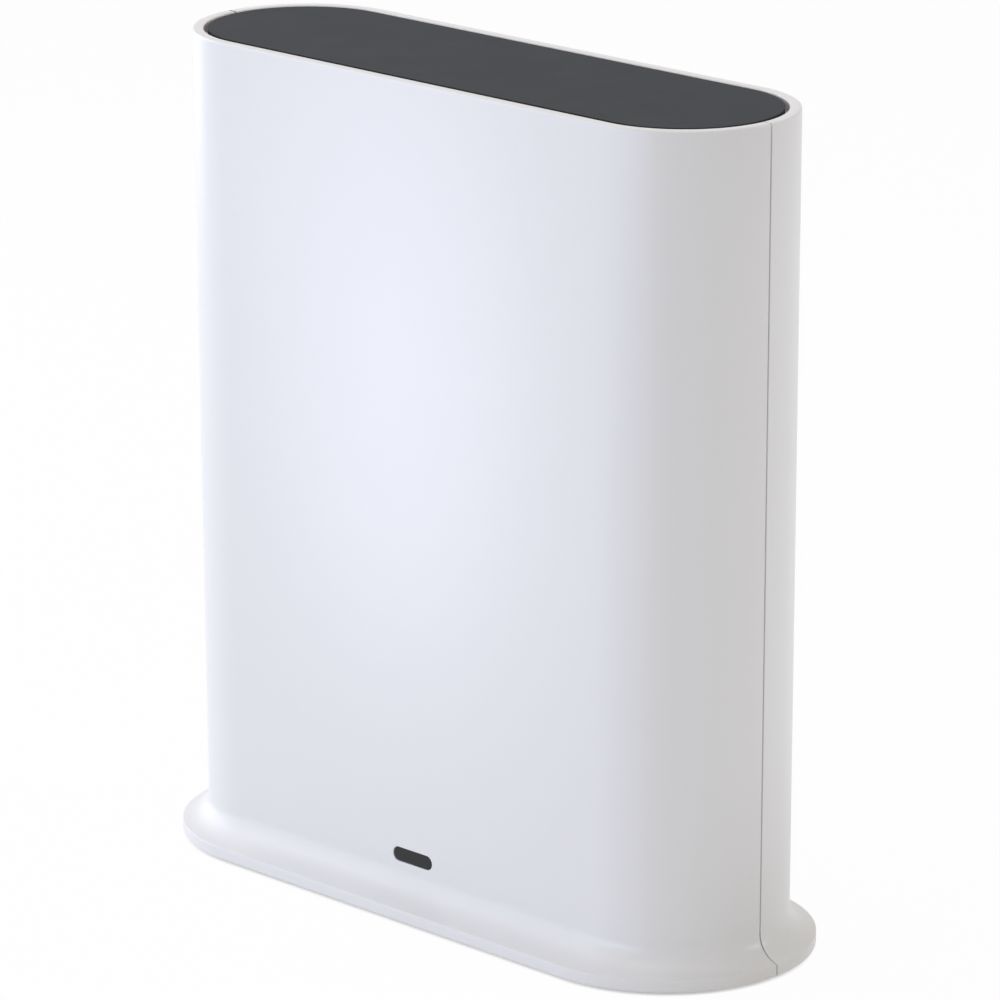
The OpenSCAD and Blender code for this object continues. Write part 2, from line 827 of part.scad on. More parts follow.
// Round push button kept in by a flange, with a stem that rests on its switch's plunger
module sync_button() {
    flange_top = rear_inner - button_gap;
    color("#DCDDE1") translate([sync_x, 0, port_axis]) {
        bar_y(sync_d, flange_top - root, rear_face + sync_proud);
        bar_y(sync_d + 2 * button_flange, flange_top - button_flange_t, flange_top);
        bar_y(stem_d, sync_plunger_top, flange_top - root);
    }
}

// Body of a push switch, with a blind bore for its plunger
module switch_body() {
    difference() {
        block_y(switch_w, switch_w, board_rear, switch_top);
        bar_y(plunger_d + 2 * plunger_gap, switch_top - plunger_seat, switch_top + over);
    }
}

module sync_switch() {
    color("#2F3033") translate([sync_x, 0, port_axis]) switch_body();
}

module sync_plunger() {
    color("#E3DCC8") translate([sync_x, 0, port_axis]) bar_y(plunger_d, plunger_z0, sync_plunger_top);
}

module reset_switch() {
    color("#2F3033") translate([reset_x, 0, port_axis]) switch_body();
}

module reset_plunger() {
    color("#E3DCC8") translate([reset_x, 0, port_axis]) bar_y(plunger_d, plunger_z0, reset_plunger_top);
}

can_d = 6.3;
cap_len = 8;
coil_side = 7;
coil_len = 3.2;
power_off = (coil_side + part_gap) / 2;
power_rows = [for (i = [0, 1]) dc_h / 2 + part_gap + coil_side / 2 + i * (coil_side + part_gap)];

module capacitors() {
    color("#5A6B8C") for (z = power_rows)
        translate([dc_x + power_off, 0, port_axis + z]) bar_y(can_d, board_rear, board_rear + cap_len);
}

module inductors() {
    color("#3A3A3D") for (z = power_rows)
        translate([dc_x - power_off, 0, port_axis + z])
            block_y(coil_side, coil_side, board_rear, board_rear + coil_len);
}

front_shell();
rear_shell();
top_panel();
base_plate();
rubber_feet();
base_screws();
light_window();
light_pipe();
status_led();
main_board();
board_screws();
processor();
memory_chips();
flash_chip();
thermal_pad();
heat_sink();
heat_sink_pins();
radio_chips();
shield_frames();
shield_lids();
left_antenna();
right_antenna();
lan_jack();
lan_contacts();
lan_transformer();
usb_shell();
usb_tongue();
usb_contacts();
dc_jack();
dc_pin();
dc_spring();
sync_button();
sync_switch();
sync_plunger();
reset_switch();
reset_plunger();
capacitors();
inductors();
crystal();
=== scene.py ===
"""Looks of a base station for security cameras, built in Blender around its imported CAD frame.

The front faces -Y, the ports face +Y and Z = 0 is the table under the rubber feet. Sizes are in millimetres
throughout, and a mesh is written in metres.
"""

import logging
from dataclasses import dataclass, replace
from enum import Enum

import bmesh
import bpy
import numpy as np
from mathutils import Matrix, Vector
from mathutils.geometry import delaunay_2d_cdt


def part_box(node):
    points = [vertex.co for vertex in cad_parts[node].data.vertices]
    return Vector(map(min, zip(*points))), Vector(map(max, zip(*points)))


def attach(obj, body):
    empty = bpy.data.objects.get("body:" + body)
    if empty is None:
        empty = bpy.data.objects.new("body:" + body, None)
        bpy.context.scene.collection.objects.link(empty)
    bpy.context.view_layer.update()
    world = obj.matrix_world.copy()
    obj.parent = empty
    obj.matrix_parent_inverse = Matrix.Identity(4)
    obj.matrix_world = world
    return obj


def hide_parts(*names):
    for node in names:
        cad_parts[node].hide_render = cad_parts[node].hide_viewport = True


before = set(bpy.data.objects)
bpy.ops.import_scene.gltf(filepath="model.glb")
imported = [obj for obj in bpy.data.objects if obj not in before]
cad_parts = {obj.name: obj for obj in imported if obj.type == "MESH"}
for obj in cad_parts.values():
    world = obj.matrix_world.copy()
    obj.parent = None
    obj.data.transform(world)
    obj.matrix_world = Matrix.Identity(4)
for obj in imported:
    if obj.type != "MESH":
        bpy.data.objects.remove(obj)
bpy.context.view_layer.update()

Array = np.ndarray
Colour = tuple[float, float, float, float]
Socket = bpy.types.NodeSocket
Tree = bpy.types.NodeTree
log = logging.getLogger("base_station")

# One millimetre in Blender's metres
MM = 0.001
# Points closer than this, in millimetres, are one point
WELD = 1e-4
# Edges that turn more than this stay crisp
CREASE = np.radians(32.0)
# Flat strip kept beside a rounded edge, so that the shading of the edge stays at the edge
COLLAR = 0.3
# Steps round a quarter of an outline, and over a rounded edge
CORNER_STEPS = 14
EDGE_STEPS = 5
# What the Delaunay net gives back: only the faces inside its outlines
NET_INSIDE = 1
# Finer octaves of a noise and how strongly they show, and the range that nearly all of its values lie in
NOISE_LUMPS = {"Detail": 3.0, "Roughness": 0.55}
NOISE_RANGE = {"From Min": 0.3, "From Max": 0.7}
# Colour sockets of a Mix node, which share their names with its other sockets
MIX_FIRST, MIX_SECOND, MIX_RESULT = 6, 7, 2


class Axis(Enum):
    """Direction along which the outlines of a piece are stacked."""

    Y = (0, 2, 1)
    Z = (0, 1, 2)


class Side(Enum):
    """One of the two covers that meet at the seam, by the sign of its Y."""

    FRONT = -1
    REAR = 1


def span(node: str) -> Array:
    """Lowest and highest corner of a CAD node, as rows of x, y and z in millimetres."""
    return np.array(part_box(node)) / MM


def middle(node: str) -> tuple[float, float]:
    """Middle of a CAD node as seen from the front: its x and z in millimetres."""
    x, _, z = span(node).mean(axis=0).tolist()
    return x, z


def soft_edge(radius: float, steps: int = EDGE_STEPS) -> tuple[Array, Array]:
    """Quarter circle over an edge: how far each point lies inside the side, and how far below the top."""
    # At the angle t these are radius (1 - cos t) and radius (1 - sin t)
    turn = np.linspace(0.0, np.pi / 2, steps + 1)
    return radius * (1 - np.cos(turn)), radius * (1 - np.sin(turn))


def rounded(width: Array, height: Array, radius: Array, centre: tuple[float, float] = (0.0, 0.0)) -> Array:
    """Closed outlines of rectangles with round corners.

    Each corner is a quarter circle about a point that lies radius inside both sides, so a radius of half the
    height gives a slot, and a slot as long as it is wide is a circle.

    Args:
        width: Size across, one for each outline or one for all.
        height: Size upwards, likewise.
        radius: Radius of the corners, likewise.
        centre: Middle of the outlines.

    Returns:
        Points as (outlines, points, 2).
    """
    sizes = np.broadcast_arrays(*np.atleast_1d(width, height, radius))
    w, h, r = (np.asarray(size, float)[..., None] for size in sizes)
    turn = np.linspace(0.0, np.pi / 2, CORNER_STEPS + 1)
    angle = (np.arange(4)[:, None] * np.pi / 2 + turn).ravel()
    right = np.repeat([1.0, -1.0, -1.0, 1.0], CORNER_STEPS + 1)
    up = np.repeat([1.0, 1.0, -1.0, -1.0], CORNER_STEPS + 1)
    x = centre[0] + right * (w / 2 - r) + r * np.cos(angle)
    y = centre[1] + up * (h / 2 - r) + r * np.sin(angle)
    return np.stack([x, y], axis=-1)


def rings(radius: Array, centre: tuple[float, float]) -> Array:
    """Outlines of circles about one middle, one for each radius."""
    return rounded(2 * radius, 2 * radius, radius - WELD, centre)


def lift(plan: Array, level: Array | float, axis: Axis) -> Array:
    """Flat points, with two coordinates in the last place, raised to a level along the axis across them."""
    along = np.broadcast_to(np.asarray(level, float), plan.shape[:-1])
    return np.concatenate([plan, along[..., None]], axis=-1)[..., list(axis.value)]


def add_object(name: str, data: bpy.types.ID) -> bpy.types.Object:
    """Puts a new object into the scene.

    Args:
        name: Name of the object.
        data: Its mesh, lamp or camera.

    Returns:
        The object, at the origin.
    """
    made = bpy.data.objects.new(name, data)
    bpy.context.scene.collection.objects.link(made)
    return made


class Patchwork:
    """Patches of one piece, gathered in millimetres and welded into one mesh."""

    def __init__(self) -> None:
        """Starts with no patches."""
        self.points: list[Array] = []
        self.faces: list[list[int]] = []
        self.count = 0

    def add(self, points: Array, faces: Array) -> None:
        """Adds one patch.

        Args:
            points: Rows of x, y and z.
            faces: Rows of point numbers, counted within this patch.
        """
        self.points.append(points)
        self.faces += (np.asarray(faces) + self.count).tolist()
        self.count += len(points)

    def sheet(self, grid: Array, around: bool = False, over: bool = False, keep: Array | None = None) -> None:
        """Adds a grid of points as a sheet of quads.

        Args:
            grid: Points as (rows, columns, 3).
            around: Whether the last column joins the first.
            over: Whether the last row joins the first.
            keep: Which cells are wanted, where some are left open.
        """
        number = np.arange(grid.shape[0] * grid.shape[1]).reshape(grid.shape[:2])
        number = np.concatenate([number, number[:1]]) if over else number
        number = np.concatenate([number, number[:, :1]], axis=1) if around else number
        cells = np.stack([number[:-1, :-1], number[:-1, 1:], number[1:, 1:], number[1:, :-1]], axis=-1)
        self.add(grid.reshape(-1, 3), cells.reshape(-1, 4) if keep is None else cells[keep])

    def fill(self, rim: Array, level: float, axis: Axis, holes: tuple[Array, ...] = ()) -> None:
        """Closes a flat outline, around any holes in it, with a constrained Delaunay net.

        Args:
            rim: Flat points of the outline.
            level: Place of the outline along the axis.
            axis: Direction that the outline lies across.
            holes: Flat outlines that stay open.
        """
        loops = [rim, *holes]
        ends = np.cumsum([len(loop) for loop in loops])
        bounds = [list(range(end - len(loop), end)) for end, loop in zip(ends, loops)]
        corners = [Vector(p) for p in np.concatenate(loops)]
        flat, _, net, _, _, owners = delaunay_2d_cdt(corners, [], bounds, NET_INSIDE, WELD / 10)
        wanted = [face for face, owner in zip(net, owners) if list(owner) == [0]]
        self.add(lift(np.array(flat), level, axis), np.array(wanted))

    def stack(self, outlines: Array, levels: Array, axis: Axis, holes: tuple[Array, ...] = ()) -> None:
        """Adds outlines that stand one above another, joined by quads and closed at both ends.

        Args:
            outlines: Flat outlines as (rows, points, 2).
            levels: Place of each outline along the axis.
            axis: Direction of the stack.
            holes: Flat outlines that stay open in the last end.
        """
        levels = np.asarray(levels, float)
        self.sheet(lift(outlines, levels[:, None], axis), around=True)
        self.fill(outlines[0], levels[0], axis)
        self.fill(outlines[-1], levels[-1], axis, holes)

    def pit(self, outline: Array, mouth: float, bed: float, axis: Axis) -> None:
        """Adds a pit of one outline: a straight wall along the axis, from its mouth to a flat bed."""
        self.sheet(lift(np.stack([outline, outline]), np.array([[mouth], [bed]]), axis), around=True)
        self.fill(outline, bed, axis)

    def piece(self, name: str) -> bpy.types.Object:
        """Welds the patches, turns the faces outwards and makes the object.

        Args:
            name: Name of the piece.

        Returns:
            The object, at the origin.
        """
        mesh = bpy.data.meshes.new(name)
        mesh.from_pydata((np.concatenate(self.points) * MM).tolist(), [], self.faces)
        net = bmesh.new()
        net.from_mesh(mesh)
        bmesh.ops.remove_doubles(net, verts=net.verts, dist=WELD * MM)
        bmesh.ops.recalc_face_normals(net, faces=net.faces)
        net.to_mesh(mesh)
        net.free()
        mesh.shade_smooth()
        mesh.set_sharp_from_angle(angle=CREASE)
        return add_object(name, mesh)


def linear(code: str) -> Colour:
    """Linear colour of an sRGB hex code: a straight line for dark tones, and a power of 2.4 above them.

    Args:
        code: Hex code such as #E6E7EB.

    Returns:
        Red, green, blue and a full alpha.
    """
    srgb = np.array([int(code[i:i + 2], 16) for i in (1, 3, 5)]) / 255.0
    light = np.where(srgb <= 0.04045, srgb / 12.92, ((srgb + 0.055) / 1.055) ** 2.4)
    return (*light.tolist(), 1.0)


def add_node(tree: Tree, kind: str, inputs: dict | None = None, **settings: object) -> bpy.types.Node:
    """Adds a node with its settings, its fixed inputs and its links.

    Args:
        tree: Node tree that gets the node.
        kind: Blender's name for the kind of node.
        inputs: Input names or numbers, each with a fixed value or with the output that feeds it.
        settings: Properties of the node.

    Returns:
        The node.
    """
    node = tree.nodes.new(kind)
    for key, value in settings.items():
        setattr(node, key, value)
    for key, value in (inputs or {}).items():
        if isinstance(value, Socket):
            tree.links.new(value, node.inputs[key])
        else:
            node.inputs[key].default_value = value
    return node


def bare_tree(owner: bpy.types.Material | bpy.types.World) -> Tree:
    """Node tree of a new material or world, with nothing in it.

    Args:
        owner: The material or world.

    Returns:
        The tree.
    """
    owner.use_nodes = True
    owner.node_tree.nodes.clear()
    return owner.node_tree


@dataclass(frozen=True)
class Finish:
    """A surface of two close tones, with an uneven polish and a fine relief.

    The tone follows a broad noise, the roughness a noise half as broad and the relief a fine one. A stretch
    above 1 draws all three out along that axis, as brushing or rolling does.
    """

    name: str
    tones: tuple[str, str]
    patch: float
    roughness: tuple[float, float]
    grain: float
    relief: float
    metallic: float = 0.0
    ior: float = 1.5
    specular: float = 0.5
    transmission: float = 0.0
    stretch: tuple[float, float, float] = (1.0, 1.0, 1.0)

    def noise(self, tree: Tree, place: Socket, size: float) -> Socket:
        """Noise over coordinates in metres, whose lumps are about one size in millimetres."""
        lumps = {"Vector": place, "Scale": 1.0 / (size * MM), **NOISE_LUMPS}
        return add_node(tree, "ShaderNodeTexNoise", lumps).outputs["Fac"]

    def tone(self, tree: Tree, place: Socket) -> Socket:
        """Colour of the surface: a mix of the two tones by a broad noise."""
        return self.blend(tree, self.noise(tree, place, self.patch), *map(linear, self.tones))

    def blend(self, tree: Tree, share: Socket, first: Colour | Socket, second: Colour | Socket) -> Socket:
        """Mix of two colours, each fixed or fed by an output, by the share of the second."""
        mix = {"Factor": share, MIX_FIRST: first, MIX_SECOND: second}
        return add_node(tree, "ShaderNodeMix", mix, data_type="RGBA").outputs[MIX_RESULT]

    def material(self) -> bpy.types.Material:
        """Makes the finish's nodes, the first time that it is asked for.

        Returns:
            The material.
        """
        known = bpy.data.materials.get(self.name)
        if known:
            return known
        made = bpy.data.materials.new(self.name)
        tree = bare_tree(made)
        place = add_node(tree, "ShaderNodeTexCoord").outputs["Object"]
        if self.stretch != (1.0, 1.0, 1.0):
            drawn = {"Vector": place, "Scale": tuple(1.0 / s for s in self.stretch)}
            place = add_node(tree, "ShaderNodeMapping", drawn).outputs["Vector"]
        polish = {"Value": self.noise(tree, place, self.patch / 2), **NOISE_RANGE,
                  "To Min": self.roughness[0], "To Max": self.roughness[1]}
        grain = self.noise(tree, place, self.grain)
        relief = {"Height": grain, "Strength": 1.0, "Distance": self.relief * MM}
        shader = add_node(tree, "ShaderNodeBsdfPrincipled", {
            "Base Color": self.tone(tree, place),
            "Roughness": add_node(tree, "ShaderNodeMapRange", polish).outputs["Result"],
            "Normal": add_node(tree, "ShaderNodeBump", relief).outputs["Normal"],
            "Metallic": self.metallic,
            "IOR": self.ior,
            "Specular IOR Level": self.specular,
            "Transmission Weight": self.transmission,
        })
        add_node(tree, "ShaderNodeOutputMaterial", {"Surface": shader.outputs["BSDF"]})
        return made


@dataclass(frozen=True)
class CircuitBoard(Finish):
    """Solder mask over etched copper: straight tracks show through it as a paler tone."""

    track: float = 0.216
    track_blur: float = 0.1
    track_pitch: float = 2.52
    track_run: float = 17.28
    mask_shade: str = "#123F27"

    def tone(self, tree: Tree, place: Socket) -> Socket:
        """Mask and tracks: bricks of bare mask, parted by tracks.

        Args:
            tree: Node tree of the material.
            place: Coordinates in metres.

        Returns:
            The colour.
        """
        upright = {"Vector": place, "Rotation": (np.pi / 2, 0.0, 0.0)}
        face = add_node(tree, "ShaderNodeMapping", upright).outputs["Vector"]
        rows = {"Vector": face, "Scale": 1.0 / MM,
                "Mortar Size": self.track, "Mortar Smooth": self.track_blur,
                "Brick Width": self.track_run, "Row Height": self.track_pitch}
        tracks = add_node(tree, "ShaderNodeTexBrick", rows).outputs["Fac"]
        bare, paler = map(linear, self.tones)
        mask = self.blend(tree, self.noise(tree, place, self.patch), bare, linear(self.mask_shade))
        return self.blend(tree, tracks, mask, paler)


# Each finish: its name, two tones, the size of their patches, the range of its roughness, and the size and
# height of its grain. A grain finer than the render's pixels of 0.2 mm, such as that of metal, epoxy or
# spark erosion, is drawn as coarse as it needs to show.

# ABS moulded in a polished mould: an even, faintly cool white with a satin gloss and a slow ripple
WHITE_ABS = Finish("satin moulded ABS", ("#E5E4E5", "#E2E1E2"), 60.0, (0.29, 0.34), 2.2, 0.004, ior=1.53)
# The same ABS, a shade lighter, on the rear cover
REAR_ABS = replace(WHITE_ABS, name="satin moulded rear ABS", tones=("#E8E7E8", "#E5E4E5"))
# The same ABS in a light grey, a little glossier where fingers polish it
BUTTON_ABS = Finish("light grey moulded ABS", ("#CDCFD3", "#C8CACF"), 6.0, (0.29, 0.36), 1.2, 0.004, ior=1.53)
# Moulded ABS from a spark-eroded mould: charcoal with a fine even grain that scatters the light
CHARCOAL_ABS = Finish("spark-textured charcoal ABS", ("#2F3135", "#2D2F33"), 20.0, (0.60, 0.63), 0.35, 0.02,
                      ior=1.53, specular=0.1)
# Tinted polycarbonate, polished: dark all through, with a clear gloss on its face
SMOKED_PC = Finish("smoked polycarbonate", ("#0B0D11", "#0E1014"), 3.0, (0.2, 0.26), 0.8, 0.002, ior=1.58,
                   specular=0.32)
# Moulded polystyrene with a fine matt grain, as undersides have
GREY_PS = Finish("matt grey polystyrene", ("#C6C7CA", "#BEBFC3"), 18.0, (0.5, 0.62), 0.5, 0.02, ior=1.59)
# Moulded rubber: near black, dull, with a slightly dusty bloom
RUBBER = Finish("moulded rubber", ("#232426", "#2E2F31"), 3.0, (0.72, 0.9), 0.3, 0.03, ior=1.52, specular=0.3)
# Zinc-plated steel: bright, with the fine scuffs of tumbling
ZINC_STEEL = Finish("zinc-plated steel", ("#C9CBCE", "#B4B7BC"), 1.5, (0.3, 0.42), 0.25, 0.004, metallic=1.0)
# Rolled and tinned sheet steel: pale, brushed along the roll
TIN_PLATE = Finish("tin-plated sheet steel", ("#D3D5D6", "#BDC0C3"), 2.0, (0.3, 0.4), 0.25, 0.004,
                   metallic=1.0, stretch=(8.0, 1.0, 1.0))
# Gold-flashed brass spring: warm and bright
GILT_BRASS = Finish("gold-flashed brass", ("#E0BC62", "#CFA54A"), 1.0, (0.29, 0.36), 0.2, 0.003, metallic=1.0)
# Extruded aluminium: grey lines along the extrusion
ALUMINIUM = Finish("extruded aluminium", ("#B7BABD", "#A3A6AA"), 2.5, (0.34, 0.5), 0.3, 0.008, metallic=1.0,
                   stretch=(1.0, 1.0, 12.0))
# Glass-filled polyester of connector bodies: black with a slight sheen
BLACK_PBT = Finish("black glass-filled polyester", ("#1F2022", "#292A2C"), 4.0, (0.42, 0.56), 0.3, 0.01,
                   ior=1.57, specular=0.25)
# The same polyester without pigment or glass: a warm, slightly dull white
WHITE_PBT = Finish("white polyester", ("#E4E3DE", "#DAD9D3"), 4.0, (0.4, 0.5), 0.3, 0.006, ior=1.57)
# Unfilled nylon: warm white and waxy
NYLON = Finish("natural nylon", ("#E3DFD2", "#DAD5C6"), 3.0, (0.4, 0.52), 0.4, 0.006, ior=1.53)
# Cast acrylic: clear, with polished faces
ACRYLIC = Finish("clear acrylic", ("#EEF3F5", "#E6EDF0"), 6.0, (0.05, 0.1), 1.5, 0.001,
                 ior=1.49, transmission=0.9)
# Silicone over a phosphor, as on white lamps: pale yellow and soft
LAMP_SILICONE = Finish("phosphor silicone", ("#F0E9B8", "#E7DD9C"), 0.8, (0.3, 0.4), 0.2, 0.004, ior=1.41)
# Moulded epoxy of chip packages: charcoal, matt, with a sandy grain
EPOXY = Finish("moulded chip epoxy", ("#242527", "#2D2E30"), 2.0, (0.5, 0.62), 0.15, 0.008, ior=1.55)
# Filled silicone sheet: soft blue-grey and dull
THERMAL_PAD = Finish("filled silicone pad", ("#8A9BB0", "#7C8DA3"), 1.5, (0.66, 0.8), 0.25, 0.02, ior=1.41)
# Shrink sleeve over an aluminium can: blue with a plastic gloss
SLEEVE = Finish("printed shrink sleeve", ("#41557D", "#384B72"), 2.0, (0.29, 0.4), 0.5, 0.004, ior=1.54)
# Pressed and sintered ferrite: dark grey and grainy
FERRITE = Finish("sintered ferrite", ("#38393B", "#2C2D2F"), 0.8, (0.55, 0.72), 0.2, 0.015, ior=2.0)
# Solder mask on glass-epoxy laminate: a deep glossy green with paler tracks
BOARD = CircuitBoard("green solder mask", ("#185236", "#2C7A50"), 8.0, (0.3, 0.42), 0.3, 0.006, ior=1.55)


def fit(piece: bpy.types.Object, finish: Finish, slot: str, *nodes: str, body: str = "housing") -> None:
    """Dresses a new piece and ties it to the frame.

    Args:
        piece: The piece, at rest.
        finish: What it is made of.
        slot: The record's material slot; not used.
        nodes: CAD nodes that it stands for.
        body: CAD body that carries it.
    """
    piece.data.materials.append(finish.material())
    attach(piece, body)
    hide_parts(*nodes)
    faces = len(piece.data.polygons)
    log.info("%s: %d faces of %s for %s", piece.name, faces, finish.name, ", ".join(nodes))


def dress(finish: Finish, *nodes: str) -> None:
    """Gives CAD nodes that stay in view their finish.

    Args:
        finish: What they are made of.
        nodes: Names of the nodes.
    """
    for name in nodes:
        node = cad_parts[name]
        if not node.material_slots:
            node.data.materials.append(None)
        for holder in node.material_slots:
            holder.material = finish.material()
        log.info("%s: CAD node, %s", name, finish.name)


@dataclass(frozen=True)
class Opening:
    """Hole through a cover, with a rounded outer edge."""

    x: float
    z: float
    width: float
    height: float
    corner: float
    edge: float = 0.22

    def outline(self, grow: Array | float) -> Array:
        """Outlines of the hole, each widened by an amount.

        Args:
            grow: How far each outline lies outside the hole's wall.

        Returns:
            Flat points as (outlines, points, 2).
        """
        grow = np.atleast_1d(grow)
        sizes = self.width + 2 * grow, self.height + 2 * grow, self.corner + grow
        return rounded(*sizes, centre=(self.x, self.z))

    def collar(self) -> Array:
        """Flat outline on the cover's face where the hole's own faces begin."""
        return self.outline(self.edge + COLLAR)[0]

    def wall(self, face: float, back: float) -> Array:
        """Surface from the cover's face, over the rounded edge, to its back.

        Args:
            face: Y of the cover's face.
            back: Y of the cover's back.

        Returns:
            Grid of points, closed round the hole.
        """
        inside, below = soft_edge(self.edge)
        grow = np.hstack([self.edge + COLLAR, inside[::-1], 0.0])
        deep = np.hstack([0.0, below[::-1], abs(face - back)])
        return lift(self.outline(grow), (face - np.sign(face) * deep)[:, None], Axis.Y)


@dataclass
class Cover:
    """One half of the white housing: a closed profile carried round half of the tower's plan.

    The plan is a slot with round ends. A point of the profile lies in the share "grow" of the foot's outset
    and "inset" inside that; the sections at the ends stop at the seam, where their edges are rounded. The
    outside widens a little upwards: its ends stand in by lean_foot at the foot and out by lean_top at the
    rim, where the inner edge goes along in the share rim_follows.
    """

    side: Side
    openings: tuple[Opening, ...]
    width: float = 149.0
    depth: float = 45.0
    wall: float = 2.25
    seam: float = 0.34
    seam_edge: float = 0.1
    rim_edge: float = 0.45
    rim_inner_edge: float = 0.35
    foot_edge: float = 0.3
    foot_upright: float = 2.4
    foot_corner: float = 0.15
    foot_rim: float = 1.6
    plate: float = 1.6
    flare_height: float = 5.2
    flare_sweep: float = np.radians(76.0)
    flare_corner: float = np.radians(74.8)
    lean_top: float = 0.4
    lean_foot: float = 0.6
    rim_follows: float = 0.6
    panel: float = 2.0
    ledge: float = 1.4
    ledge_thick: float = 1.5
    lip_reach: float = 1.6
    lip_gap: float = 0.15
    lip_clear: float = 0.001
    lip_steps: int = 4
    ledge_clear: float = 0.6
    arc_start: float = np.radians(9.0)
    arc_steps: int = 30
    flare_steps: int = 24

    def __post_init__(self) -> None:
        """Takes the foot's outset and the heights from the CAD shells, and the ledge from the lid."""
        low, high = span("front_shell" if self.side is Side.FRONT else "rear_shell")
        self.out_end = high[0] - self.width / 2
        self.out_side = np.abs((low, high))[:, 1].max() - self.depth / 2
        self.bottom, self.top = low[2], high[2]
        self.edge_top = self.bottom + self.foot_upright
        self.flare_top = self.edge_top + self.flare_height
        self.ledge_top = span("top_panel")[1][2] - self.panel
        self.lip_top = self.ledge_top - self.ledge_thick - self.lip_gap

    def flare(self, angle: Array) -> tuple[Array, Array]:
        """Curve of the foot, an ellipse cut off at the sweep: share of the outset and height at an angle."""
        # The share is (1 - cos a) / (1 - cos sweep), and the height falls in the share sin a / sin sweep
        grow = (1 - np.cos(angle)) / (1 - np.cos(self.flare_sweep))
        return grow, self.flare_top - self.flare_height * np.sin(angle) / np.sin(self.flare_sweep)

    def lean(self, level: Array, grow: Array) -> Array:
        """How far the outside's ends stand out: a line over the height, faded by the share of the outset."""
        share = (level - self.bottom) / (self.top - self.bottom)
        return (share * (self.lean_top + self.lean_foot) - self.lean_foot) * (1 - grow)

    def profile(self) -> dict[str, Array]:
        """Closed profile of the wall, up the outside, over the rim, down the inside and along the underside.

        Returns:
            For each row its share of the outset, inset and height, and how much the seam's rounding and the
            lean, the ledge, and the notch for the lip touch it.
        """
        foot_in, foot_up = soft_edge(self.foot_edge)
        rim_in, rim_down = soft_edge(self.rim_edge)
        lip_in, lip_down = soft_edge(self.rim_inner_edge)
        corner_grow, corner_z = self.flare(self.flare_corner)
        # A quadratic curve rounds the corner between the foot's upright edge and its flare
        bend = np.linspace(0.0, 1.0, EDGE_STEPS + 1)
        bend_z = (1 - bend) ** 2 * (self.edge_top - self.foot_corner) + 2 * bend * (1 - bend) * self.edge_top
        flare_grow, flare_z = self.flare(np.linspace(self.flare_corner, 0.0, self.flare_steps + 1)[1:])
        wall, inner_z = self.wall, np.array([self.ledge_top, self.ledge_top - self.ledge_thick])
        rows = [
            (1.0, foot_in[::-1], self.bottom + foot_up[::-1], 1, 0, 0),
            (1 - bend ** 2 * (1 - corner_grow), 0.0, bend_z + bend ** 2 * corner_z, 1, 0, 0),
            (flare_grow, 0.0, flare_z, 1, 0, 0),
            (0.0, 0.0, np.array([self.flare_top + COLLAR, self.top - self.rim_edge - COLLAR]), 1, 0, 0),
            (0.0, rim_in, self.top - rim_down, 1, 0, 0),
            (0.0, wall - lip_in[::-1], self.top - lip_down[::-1], self.rim_follows, 0, 0),
            (0.0, wall, inner_z.repeat(2), 0, np.array([0, 1, 1, 0]), 0),
            (0.0, wall, np.array([self.lip_top, self.flare_top]).repeat(2), 0, 0, np.array([0, 1, 1, 0])),
            (np.array([0.0, 1.0, 1.0]), np.array([wall, self.foot_rim, self.foot_rim]),
             self.bottom + np.array([self.plate, self.plate, 0.0]), 0, 0, 0),
        ]
        names = ("grow", "inset", "z", "outer", "ledge", "notch")
        columns = [np.stack(np.broadcast_arrays(*row)).astype(float) for row in rows]
        return dict(zip(names, np.concatenate(columns, axis=1)))

    def half_path(self) -> dict[str, Array]:
        """Columns of half the plan, from the +X end of the seam by way of the face to the -X end.

        Returns:
            For each column the sign of X, the share of the straight run, the angle round the end, the
            distance from the seam's plane where that is fixed, how far the seam's rounding tucks it in, and
            the weights of the ledge and the notch.
        """
        seam_in, seam_off = soft_edge(self.seam_edge)
        notch_y = self.lip_reach + self.lip_gap
        ledge_y = self.lip_reach + self.ledge_clear
        fixed = np.hstack([self.seam / 2 + seam_off[::-1], [notch_y] * 2, [ledge_y] * 2])
        arc = np.linspace(self.arc_start, np.pi / 2, self.arc_steps)
        near, far = len(fixed), len(arc) + 1
        # The notch ends in a step and the ledge begins in one, so each has two columns at one distance
        quarter = {
            "run": np.hstack([np.ones(near + far - 1), 1 - 2 * COLLAR / (self.width - self.depth)]),
            "angle": np.hstack([np.zeros(near), arc, np.pi / 2]),
            "fixed": np.hstack([fixed, np.full(far, np.nan)]),
            "tuck": np.hstack([seam_in[::-1], np.zeros(4 + far)]),
            "notch": np.hstack([np.ones(near - 3), np.zeros(3 + far)]),
            "ledge": np.hstack([np.zeros(near - 1), np.ones(1 + far)]),
        }
        path = {name: np.hstack([values, values[::-1]]) for name, values in quarter.items()}
        path["sign"] = np.repeat([1.0, -1.0], near + far)
        return path

